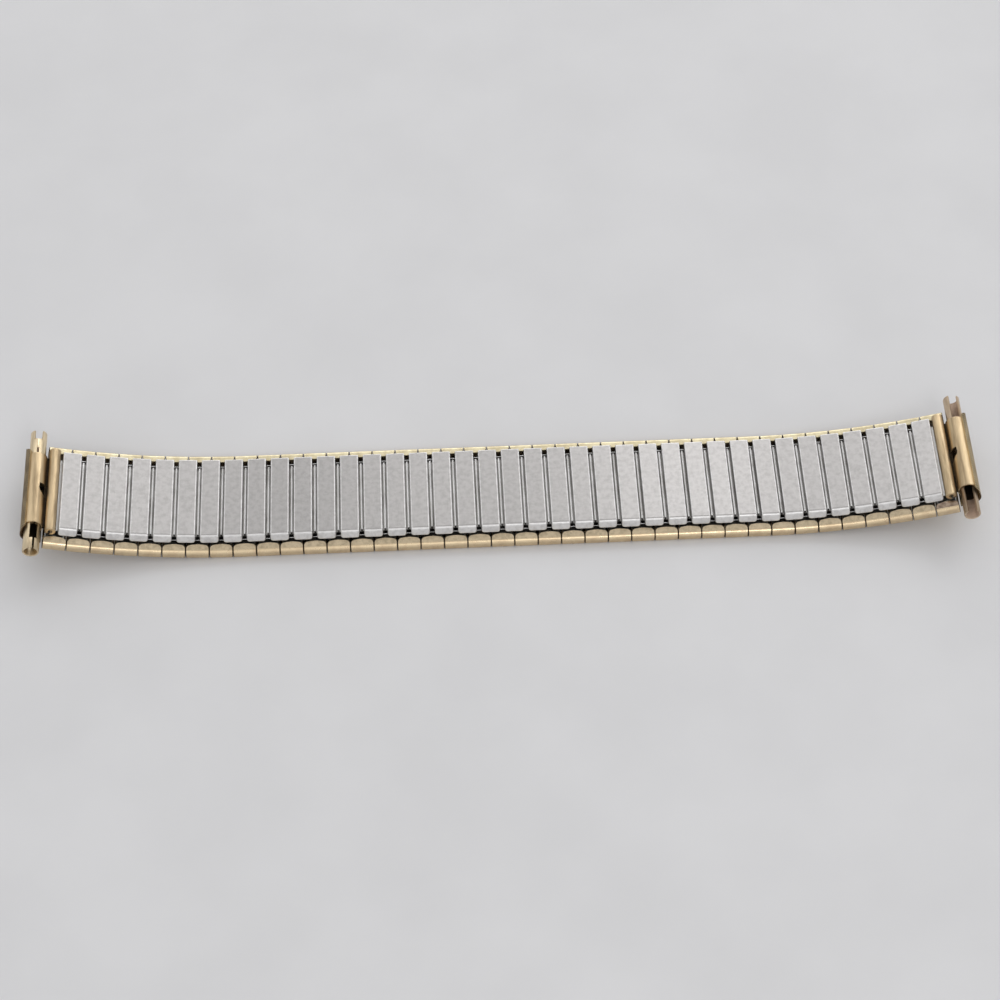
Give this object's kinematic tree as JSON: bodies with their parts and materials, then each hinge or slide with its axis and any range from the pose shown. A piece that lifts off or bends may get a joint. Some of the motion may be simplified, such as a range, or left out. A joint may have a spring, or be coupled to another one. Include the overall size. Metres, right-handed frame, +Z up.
{
  "type": "expansion watch band",
  "caption": "Two-row expansion watch band with gold caps, steel inner links joined by sprung flat-wire bows, and telescoping spring-bar tubes in a rolled end at each end.",
  "frame": {"origin": "middle of the band on the plane its gold side lies on", "axes": "+X along the band, +Y across it towards the forked tubes, +Z up from the gold side to the silver inner side"},
  "size_m": [0.1448, 0.022, 0.008],
  "materials": {
    "gold": "satin gold plate",
    "steel": "satin stainless steel",
    "spring_steel": "dull spring steel"
  },
  "bodies": {
    "center_link": {"center_upper_link": "gold", "connecting_bows": "spring_steel"},
    "right_link_pair_01": {"right_link_pair_01": "steel"},
    "right_lower_link_02": {"right_lower_link_02": "steel"},
    "right_upper_link_02": {"right_upper_link_02": "gold"},
    "right_link_pair_03": {"right_link_pair_03": "steel"},
    "right_link_pair_04": {"right_link_pair_04": "steel"},
    "right_lower_link_05": {"right_lower_link_05": "steel"},
    "right_upper_link_05": {"right_upper_link_05": "gold"},
    "right_link_pair_06": {"right_link_pair_06": "steel"},
    "right_link_pair_07": {"right_link_pair_07": "steel"},
    "right_lower_link_08": {"right_lower_link_08": "steel"},
    "right_upper_link_08": {"right_upper_link_08": "gold"},
    "right_link_pair_09": {"right_link_pair_09": "steel"},
    "right_link_pair_10": {"right_link_pair_10": "steel"},
    "right_lower_link_11": {"right_lower_link_11": "steel"},
    "right_upper_link_11": {"right_upper_link_11": "gold"},
    "right_link_pair_12": {"right_link_pair_12": "steel"},
    "right_link_pair_13": {"right_link_pair_13": "steel"},
    "right_lower_link_14": {"right_lower_link_14": "steel"},
    "right_upper_link_14": {"right_upper_link_14": "gold"},
    "right_link_pair_15": {"right_link_pair_15": "steel"},
    "right_link_pair_16": {"right_link_pair_16": "steel"},
    "right_lower_link_17": {"right_lower_link_17": "steel"},
    "right_upper_link_17": {"right_upper_link_17": "gold"},
    "right_link_pair_18": {"right_link_pair_18": "steel"},
    "right_link_pair_19": {"right_link_pair_19": "steel"},
    "right_end_housing": {"right_end_housing": "gold", "right_end_spring": "spring_steel"},
    "right_far_tube": {"right_far_tube": "gold"},
    "right_near_tube": {"right_near_tube": "gold"},
    "left_link_pair_01": {"left_link_pair_01": "steel"},
    "left_lower_link_02": {"left_lower_link_02": "steel"},
    "left_upper_link_02": {"left_upper_link_02": "gold"},
    "left_link_pair_03": {"left_link_pair_03": "steel"},
    "left_link_pair_04": {"left_link_pair_04": "steel"},
    "left_lower_link_05": {"left_lower_link_05": "steel"},
    "left_upper_link_05": {"left_upper_link_05": "gold"},
    "left_link_pair_06": {"left_link_pair_06": "steel"},
    "left_link_pair_07": {"left_link_pair_07": "steel"},
    "left_lower_link_08": {"left_lower_link_08": "steel"},
    "left_upper_link_08": {"left_upper_link_08": "gold"},
    "left_link_pair_09": {"left_link_pair_09": "steel"},
    "left_link_pair_10": {"left_link_pair_10": "steel"},
    "left_lower_link_11": {"left_lower_link_11": "steel"},
    "left_upper_link_11": {"left_upper_link_11": "gold"},
    "left_link_pair_12": {"left_link_pair_12": "steel"},
    "left_link_pair_13": {"left_link_pair_13": "steel"},
    "left_lower_link_14": {"left_lower_link_14": "steel"},
    "left_upper_link_14": {"left_upper_link_14": "gold"},
    "left_link_pair_15": {"left_link_pair_15": "steel"},
    "left_link_pair_16": {"left_link_pair_16": "steel"},
    "left_lower_link_17": {"left_lower_link_17": "steel"},
    "left_upper_link_17": {"left_upper_link_17": "gold"},
    "left_link_pair_18": {"left_link_pair_18": "steel"},
    "left_link_pair_19": {"left_link_pair_19": "steel"},
    "left_end_housing": {"left_end_housing": "gold", "left_end_spring": "spring_steel"},
    "left_far_tube": {"left_far_tube": "gold"},
    "left_near_tube": {"left_near_tube": "gold"}
  },
  "joints": [
    {"name": "right_stretch_01", "type": "slide", "parent": "center_link", "child": "right_link_pair_01", "axis": [1, 0, 0], "range_m": [0, 0.0018], "stiffness_N_per_m": 400, "deforming": ["connecting_bows"]},
    {"name": "right_stretch_02", "type": "slide", "parent": "right_link_pair_01", "child": "right_lower_link_02", "axis": [1, 0, 0], "range_m": [0, 0.0018], "stiffness_N_per_m": 400},
    {"name": "right_wrap_02", "type": "hinge", "parent": "right_lower_link_02", "child": "right_upper_link_02", "pos_m": [0.00613, 0, 0.0025], "axis": [0, -1, 0], "range_deg": [0, 20]},
    {"name": "right_stretch_03", "type": "slide", "parent": "right_upper_link_02", "child": "right_link_pair_03", "axis": [1, 0, 0], "range_m": [0, 0.0018], "stiffness_N_per_m": 400},
    {"name": "right_stretch_04", "type": "slide", "parent": "right_link_pair_03", "child": "right_link_pair_04", "axis": [1, 0, 0], "range_m": [0, 0.0018], "stiffness_N_per_m": 400},
    {"name": "right_stretch_05", "type": "slide", "parent": "right_link_pair_04", "child": "right_lower_link_05", "axis": [1, 0, 0], "range_m": [0, 0.0018], "stiffness_N_per_m": 400},
    {"name": "right_wrap_05", "type": "hinge", "parent": "right_lower_link_05", "child": "right_upper_link_05", "pos_m": [0.01681, 0, 0.0025], "axis": [0, -1, 0], "range_deg": [0, 20]},
    {"name": "right_stretch_06", "type": "slide", "parent": "right_upper_link_05", "child": "right_link_pair_06", "axis": [1, 0, 0], "range_m": [0, 0.0018], "stiffness_N_per_m": 400},
    {"name": "right_stretch_07", "type": "slide", "parent": "right_link_pair_06", "child": "right_link_pair_07", "axis": [1, 0, 0], "range_m": [0, 0.0018], "stiffness_N_per_m": 400},
    {"name": "right_stretch_08", "type": "slide", "parent": "right_link_pair_07", "child": "right_lower_link_08", "axis": [1, 0, 0], "range_m": [0, 0.0018], "stiffness_N_per_m": 400},
    {"name": "right_wrap_08", "type": "hinge", "parent": "right_lower_link_08", "child": "right_upper_link_08", "pos_m": [0.02749, 0, 0.0025], "axis": [0, -1, 0], "range_deg": [0, 20]},
    {"name": "right_stretch_09", "type": "slide", "parent": "right_upper_link_08", "child": "right_link_pair_09", "axis": [1, 0, 0], "range_m": [0, 0.0018], "stiffness_N_per_m": 400},
    {"name": "right_stretch_10", "type": "slide", "parent": "right_link_pair_09", "child": "right_link_pair_10", "axis": [1, 0, 0], "range_m": [0, 0.0018], "stiffness_N_per_m": 400},
    {"name": "right_stretch_11", "type": "slide", "parent": "right_link_pair_10", "child": "right_lower_link_11", "axis": [1, 0, 0], "range_m": [0, 0.0018], "stiffness_N_per_m": 400},
    {"name": "right_wrap_11", "type": "hinge", "parent": "right_lower_link_11", "child": "right_upper_link_11", "pos_m": [0.03817, 0, 0.0025], "axis": [0, -1, 0], "range_deg": [0, 20]},
    {"name": "right_stretch_12", "type": "slide", "parent": "right_upper_link_11", "child": "right_link_pair_12", "axis": [0.9999, 0, 0.0166], "range_m": [0, 0.0018], "stiffness_N_per_m": 400},
    {"name": "right_stretch_13", "type": "slide", "parent": "right_link_pair_12", "child": "right_link_pair_13", "axis": [0.9988, 0, 0.0497], "range_m": [0, 0.0018], "stiffness_N_per_m": 400},
    {"name": "right_stretch_14", "type": "slide", "parent": "right_link_pair_13", "child": "right_lower_link_14", "axis": [0.9966, 0, 0.0828], "range_m": [0, 0.0018], "stiffness_N_per_m": 400},
    {"name": "right_wrap_14", "type": "hinge", "parent": "right_lower_link_14", "child": "right_upper_link_14", "pos_m": [0.04877, 0, 0.00293], "axis": [0, -1, 0], "range_deg": [0, 20]},
    {"name": "right_stretch_15", "type": "slide", "parent": "right_upper_link_14", "child": "right_link_pair_15", "axis": [0.9933, 0, 0.1158], "range_m": [0, 0.0018], "stiffness_N_per_m": 400},
    {"name": "right_stretch_16", "type": "slide", "parent": "right_link_pair_15", "child": "right_link_pair_16", "axis": [0.9889, 0, 0.1487], "range_m": [0, 0.0018], "stiffness_N_per_m": 400},
    {"name": "right_stretch_17", "type": "slide", "parent": "right_link_pair_16", "child": "right_lower_link_17", "axis": [0.9834, 0, 0.1814], "range_m": [0, 0.0018], "stiffness_N_per_m": 400},
    {"name": "right_wrap_17", "type": "hinge", "parent": "right_lower_link_17", "child": "right_upper_link_17", "pos_m": [0.05927, 0, 0.00441], "axis": [0, -1, 0], "range_deg": [0, 20]},
    {"name": "right_stretch_18", "type": "slide", "parent": "right_upper_link_17", "child": "right_link_pair_18", "axis": [0.9769, 0, 0.2139], "range_m": [0, 0.0018], "stiffness_N_per_m": 400},
    {"name": "right_stretch_19", "type": "slide", "parent": "right_link_pair_18", "child": "right_link_pair_19", "axis": [0.9692, 0, 0.2462], "range_m": [0, 0.0018], "stiffness_N_per_m": 400},
    {"name": "right_end_hinge", "type": "hinge", "parent": "right_link_pair_19", "child": "right_end_housing", "pos_m": [0.06789, 0, 0.00663], "axis": [0, -1, 0], "range_deg": [0, 35]},
    {"name": "right_far_tube_slide", "type": "slide", "parent": "right_end_housing", "child": "right_far_tube", "axis": [0, -1, 0], "range_m": [0, 0.003], "stiffness_N_per_m": 250, "springref_m": -0.002},
    {"name": "right_near_tube_slide", "type": "slide", "parent": "right_end_housing", "child": "right_near_tube", "axis": [0, 1, 0], "range_m": [0, 0.003], "stiffness_N_per_m": 250, "springref_m": -0.002, "deforming": ["right_end_spring"]},
    {"name": "left_stretch_01", "type": "slide", "parent": "center_link", "child": "left_link_pair_01", "axis": [-1, 0, 0], "range_m": [0, 0.0018], "stiffness_N_per_m": 400},
    {"name": "left_stretch_02", "type": "slide", "parent": "left_link_pair_01", "child": "left_lower_link_02", "axis": [-1, 0, 0], "range_m": [0, 0.0018], "stiffness_N_per_m": 400},
    {"name": "left_wrap_02", "type": "hinge", "parent": "left_lower_link_02", "child": "left_upper_link_02", "pos_m": [-0.00613, 0, 0.0025], "axis": [0, 1, 0], "range_deg": [0, 20]},
    {"name": "left_stretch_03", "type": "slide", "parent": "left_upper_link_02", "child": "left_link_pair_03", "axis": [-1, 0, 0], "range_m": [0, 0.0018], "stiffness_N_per_m": 400},
    {"name": "left_stretch_04", "type": "slide", "parent": "left_link_pair_03", "child": "left_link_pair_04", "axis": [-1, 0, 0], "range_m": [0, 0.0018], "stiffness_N_per_m": 400},
    {"name": "left_stretch_05", "type": "slide", "parent": "left_link_pair_04", "child": "left_lower_link_05", "axis": [-1, 0, 0], "range_m": [0, 0.0018], "stiffness_N_per_m": 400},
    {"name": "left_wrap_05", "type": "hinge", "parent": "left_lower_link_05", "child": "left_upper_link_05", "pos_m": [-0.01681, 0, 0.0025], "axis": [0, 1, 0], "range_deg": [0, 20]},
    {"name": "left_stretch_06", "type": "slide", "parent": "left_upper_link_05", "child": "left_link_pair_06", "axis": [-1, 0, 0], "range_m": [0, 0.0018], "stiffness_N_per_m": 400},
    {"name": "left_stretch_07", "type": "slide", "parent": "left_link_pair_06", "child": "left_link_pair_07", "axis": [-1, 0, 0], "range_m": [0, 0.0018], "stiffness_N_per_m": 400},
    {"name": "left_stretch_08", "type": "slide", "parent": "left_link_pair_07", "child": "left_lower_link_08", "axis": [-1, 0, 0], "range_m": [0, 0.0018], "stiffness_N_per_m": 400},
    {"name": "left_wrap_08", "type": "hinge", "parent": "left_lower_link_08", "child": "left_upper_link_08", "pos_m": [-0.02749, 0, 0.0025], "axis": [0, 1, 0], "range_deg": [0, 20]},
    {"name": "left_stretch_09", "type": "slide", "parent": "left_upper_link_08", "child": "left_link_pair_09", "axis": [-1, 0, 0], "range_m": [0, 0.0018], "stiffness_N_per_m": 400},
    {"name": "left_stretch_10", "type": "slide", "parent": "left_link_pair_09", "child": "left_link_pair_10", "axis": [-1, 0, 0], "range_m": [0, 0.0018], "stiffness_N_per_m": 400},
    {"name": "left_stretch_11", "type": "slide", "parent": "left_link_pair_10", "child": "left_lower_link_11", "axis": [-1, 0, 0], "range_m": [0, 0.0018], "stiffness_N_per_m": 400},
    {"name": "left_wrap_11", "type": "hinge", "parent": "left_lower_link_11", "child": "left_upper_link_11", "pos_m": [-0.03817, 0, 0.0025], "axis": [0, 1, 0], "range_deg": [0, 20]},
    {"name": "left_stretch_12", "type": "slide", "parent": "left_upper_link_11", "child": "left_link_pair_12", "axis": [-0.9999, 0, 0.0166], "range_m": [0, 0.0018], "stiffness_N_per_m": 400},
    {"name": "left_stretch_13", "type": "slide", "parent": "left_link_pair_12", "child": "left_link_pair_13", "axis": [-0.9988, 0, 0.0497], "range_m": [0, 0.0018], "stiffness_N_per_m": 400},
    {"name": "left_stretch_14", "type": "slide", "parent": "left_link_pair_13", "child": "left_lower_link_14", "axis": [-0.9966, 0, 0.0828], "range_m": [0, 0.0018], "stiffness_N_per_m": 400},
    {"name": "left_wrap_14", "type": "hinge", "parent": "left_lower_link_14", "child": "left_upper_link_14", "pos_m": [-0.04877, 0, 0.00293], "axis": [0, 1, 0], "range_deg": [0, 20]},
    {"name": "left_stretch_15", "type": "slide", "parent": "left_upper_link_14", "child": "left_link_pair_15", "axis": [-0.9933, 0, 0.1158], "range_m": [0, 0.0018], "stiffness_N_per_m": 400},
    {"name": "left_stretch_16", "type": "slide", "parent": "left_link_pair_15", "child": "left_link_pair_16", "axis": [-0.9889, 0, 0.1487], "range_m": [0, 0.0018], "stiffness_N_per_m": 400},
    {"name": "left_stretch_17", "type": "slide", "parent": "left_link_pair_16", "child": "left_lower_link_17", "axis": [-0.9834, 0, 0.1814], "range_m": [0, 0.0018], "stiffness_N_per_m": 400},
    {"name": "left_wrap_17", "type": "hinge", "parent": "left_lower_link_17", "child": "left_upper_link_17", "pos_m": [-0.05927, 0, 0.00441], "axis": [0, 1, 0], "range_deg": [0, 20]},
    {"name": "left_stretch_18", "type": "slide", "parent": "left_upper_link_17", "child": "left_link_pair_18", "axis": [-0.9769, 0, 0.2139], "range_m": [0, 0.0018], "stiffness_N_per_m": 400},
    {"name": "left_stretch_19", "type": "slide", "parent": "left_link_pair_18", "child": "left_link_pair_19", "axis": [-0.9692, 0, 0.2462], "range_m": [0, 0.0018], "stiffness_N_per_m": 400},
    {"name": "left_end_hinge", "type": "hinge", "parent": "left_link_pair_19", "child": "left_end_housing", "pos_m": [-0.06789, 0, 0.00663], "axis": [0, 1, 0], "range_deg": [0, 35]},
    {"name": "left_far_tube_slide", "type": "slide", "parent": "left_end_housing", "child": "left_far_tube", "axis": [0, -1, 0], "range_m": [0, 0.003], "stiffness_N_per_m": 250, "springref_m": -0.002},
    {"name": "left_near_tube_slide", "type": "slide", "parent": "left_end_housing", "child": "left_near_tube", "axis": [0, 1, 0], "range_m": [0, 0.003], "stiffness_N_per_m": 250, "springref_m": -0.002, "deforming": ["left_end_spring"]}
  ],
  "couplings": [
    {"joint": "right_stretch_02", "follows": "right_stretch_01", "ratio": 1},
    {"joint": "right_stretch_03", "follows": "right_stretch_01", "ratio": 1},
    {"joint": "right_stretch_04", "follows": "right_stretch_01", "ratio": 1},
    {"joint": "right_stretch_05", "follows": "right_stretch_01", "ratio": 1},
    {"joint": "right_wrap_05", "follows": "right_wrap_02", "ratio": 1},
    {"joint": "right_stretch_06", "follows": "right_stretch_01", "ratio": 1},
    {"joint": "right_stretch_07", "follows": "right_stretch_01", "ratio": 1},
    {"joint": "right_stretch_08", "follows": "right_stretch_01", "ratio": 1},
    {"joint": "right_wrap_08", "follows": "right_wrap_02", "ratio": 1},
    {"joint": "right_stretch_09", "follows": "right_stretch_01", "ratio": 1},
    {"joint": "right_stretch_10", "follows": "right_stretch_01", "ratio": 1},
    {"joint": "right_stretch_11", "follows": "right_stretch_01", "ratio": 1},
    {"joint": "right_wrap_11", "follows": "right_wrap_02", "ratio": 1},
    {"joint": "right_stretch_12", "follows": "right_stretch_01", "ratio": 1},
    {"joint": "right_stretch_13", "follows": "right_stretch_01", "ratio": 1},
    {"joint": "right_stretch_14", "follows": "right_stretch_01", "ratio": 1},
    {"joint": "right_wrap_14", "follows": "right_wrap_02", "ratio": 1},
    {"joint": "right_stretch_15", "follows": "right_stretch_01", "ratio": 1},
    {"joint": "right_stretch_16", "follows": "right_stretch_01", "ratio": 1},
    {"joint": "right_stretch_17", "follows": "right_stretch_01", "ratio": 1},
    {"joint": "right_wrap_17", "follows": "right_wrap_02", "ratio": 1},
    {"joint": "right_stretch_18", "follows": "right_stretch_01", "ratio": 1},
    {"joint": "right_stretch_19", "follows": "right_stretch_01", "ratio": 1},
    {"joint": "left_stretch_01", "follows": "right_stretch_01", "ratio": 1},
    {"joint": "left_stretch_02", "follows": "right_stretch_01", "ratio": 1},
    {"joint": "left_wrap_02", "follows": "right_wrap_02", "ratio": 1},
    {"joint": "left_stretch_03", "follows": "right_stretch_01", "ratio": 1},
    {"joint": "left_stretch_04", "follows": "right_stretch_01", "ratio": 1},
    {"joint": "left_stretch_05", "follows": "right_stretch_01", "ratio": 1},
    {"joint": "left_wrap_05", "follows": "right_wrap_02", "ratio": 1},
    {"joint": "left_stretch_06", "follows": "right_stretch_01", "ratio": 1},
    {"joint": "left_stretch_07", "follows": "right_stretch_01", "ratio": 1},
    {"joint": "left_stretch_08", "follows": "right_stretch_01", "ratio": 1},
    {"joint": "left_wrap_08", "follows": "right_wrap_02", "ratio": 1},
    {"joint": "left_stretch_09", "follows": "right_stretch_01", "ratio": 1},
    {"joint": "left_stretch_10", "follows": "right_stretch_01", "ratio": 1},
    {"joint": "left_stretch_11", "follows": "right_stretch_01", "ratio": 1},
    {"joint": "left_wrap_11", "follows": "right_wrap_02", "ratio": 1},
    {"joint": "left_stretch_12", "follows": "right_stretch_01", "ratio": 1},
    {"joint": "left_stretch_13", "follows": "right_stretch_01", "ratio": 1},
    {"joint": "left_stretch_14", "follows": "right_stretch_01", "ratio": 1},
    {"joint": "left_wrap_14", "follows": "right_wrap_02", "ratio": 1},
    {"joint": "left_stretch_15", "follows": "right_stretch_01", "ratio": 1},
    {"joint": "left_stretch_16", "follows": "right_stretch_01", "ratio": 1},
    {"joint": "left_stretch_17", "follows": "right_stretch_01", "ratio": 1},
    {"joint": "left_wrap_17", "follows": "right_wrap_02", "ratio": 1},
    {"joint": "left_stretch_18", "follows": "right_stretch_01", "ratio": 1},
    {"joint": "left_stretch_19", "follows": "right_stretch_01", "ratio": 1}
  ]
}
